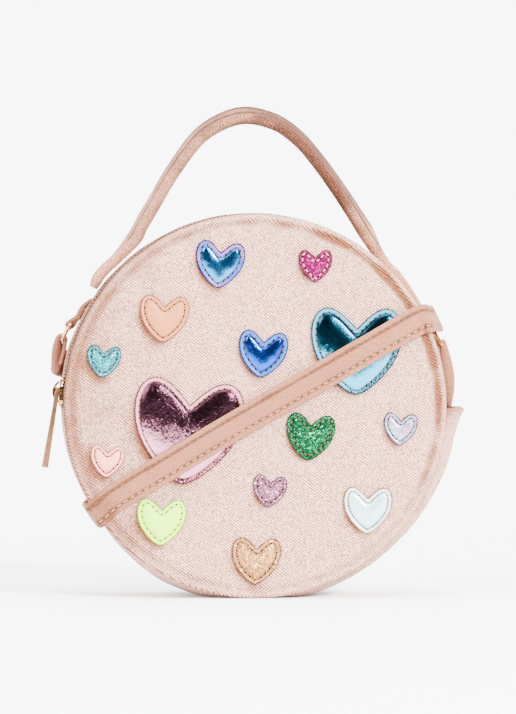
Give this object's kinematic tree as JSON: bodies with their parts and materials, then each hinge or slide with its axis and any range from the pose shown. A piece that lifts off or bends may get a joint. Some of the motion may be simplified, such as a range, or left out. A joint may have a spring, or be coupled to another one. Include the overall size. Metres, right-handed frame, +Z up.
{
  "type": "shoulder bag",
  "caption": "Round velvet shoulder bag with padded hearts on its front, a zip over the top of the rim, a carry handle and a long stitched strap wound round it.",
  "frame": {"origin": "middle of the flat under the bag, on the floor", "axes": "+Z up, +Y from the hearts on the front to the back, +X to the right seen from the front"},
  "size_m": [0.1897, 0.0581, 0.221],
  "materials": {
    "panel_velvet": "short nap velvet with fine diagonal ribs",
    "gusset_velvet": "short nap velvet",
    "handle_velvet": "velvet strip with two rows of stitches",
    "strap_velvet": "velvet strip with two rows of stitches",
    "board": "grey-brown pressed board",
    "lining_cloth": "thin woven lining",
    "zip_tape": "woven tape",
    "zip_metal": "polished gold-coloured teeth",
    "slider_metal": "polished rose gold",
    "ring_metal": "polished gold",
    "violet_foil": "metallic foil cloth, blue-violet to turquoise",
    "magenta_glitter": "glitter cloth",
    "peach_satin": "satin",
    "teal_glitter": "glitter cloth",
    "royal_foil": "metallic foil cloth",
    "aqua_foil": "metallic foil cloth",
    "pink_foil": "crinkled metallic foil cloth",
    "green_glitter": "glitter cloth",
    "pearl_foil": "iridescent foil cloth",
    "blush_satin": "satin",
    "lilac_glitter": "glitter cloth",
    "white_foil": "iridescent white cloth with a pale gold edge",
    "lime_satin": "satin",
    "gold_glitter": "glitter cloth"
  },
  "bodies": {
    "bag": {"front_panel": "panel_velvet", "front_board": "board", "front_lining": "lining_cloth", "back_panel": "panel_velvet", "back_board": "board", "back_lining": "lining_cloth", "lower_gusset": "gusset_velvet", "lower_gusset_lining": "lining_cloth", "top_gusset": "gusset_velvet", "top_gusset_lining": "lining_cloth", "zip_tape_front": "zip_tape", "zip_tape_rear": "zip_tape", "zip_teeth_front": "zip_metal", "zip_teeth_rear": "zip_metal", "zip_stops": "zip_metal", "handle_tab_left": "handle_velvet", "handle_tab_right": "handle_velvet", "strap_tab_left": "strap_velvet", "strap_tab_right": "strap_velvet", "shoulder_strap": "strap_velvet", "heart_violet": "violet_foil", "heart_magenta": "magenta_glitter", "heart_peach": "peach_satin", "heart_teal": "teal_glitter", "heart_royal": "royal_foil", "heart_aqua": "aqua_foil", "heart_pink": "pink_foil", "heart_green": "green_glitter", "heart_pearl": "pearl_foil", "heart_blush": "blush_satin", "heart_lilac": "lilac_glitter", "heart_white": "white_foil", "heart_lime": "lime_satin", "heart_gold": "gold_glitter"},
    "slider": {"zip_slider": "slider_metal"},
    "pull": {"zip_pull": "slider_metal"},
    "handle": {"carry_handle": "handle_velvet"},
    "ring_left": {"strap_ring_left": "ring_metal"},
    "ring_right": {"strap_ring_right": "ring_metal"}
  },
  "joints": [
    {"name": "zip_slide", "type": "hinge", "parent": "bag", "child": "slider", "pos_m": [0, 0, 0.0866], "axis": [0, 1, 0], "range_deg": [0, 138], "deforming": ["zip_teeth_front", "zip_teeth_rear"]},
    {"name": "pull_swing", "type": "hinge", "parent": "slider", "child": "pull", "pos_m": [-0.08892, -0.014, 0.09435], "axis": [0, 1, 0], "range_deg": [-2, 150]},
    {"name": "handle_swing", "type": "hinge", "parent": "bag", "child": "handle", "pos_m": [0, 0.00487, 0.1718], "axis": [1, 0, 0], "range_deg": [-60, 30]},
    {"name": "ring_swing_left", "type": "hinge", "parent": "bag", "child": "ring_left", "pos_m": [-0.08252, 0.01, 0.1234], "axis": [0, 1, 0], "range_deg": [-4, 4]},
    {"name": "ring_swing_right", "type": "hinge", "parent": "bag", "child": "ring_right", "pos_m": [0.08358, 0.01, 0.12094], "axis": [0, 1, 0], "range_deg": [-4, 4]}
  ]
}
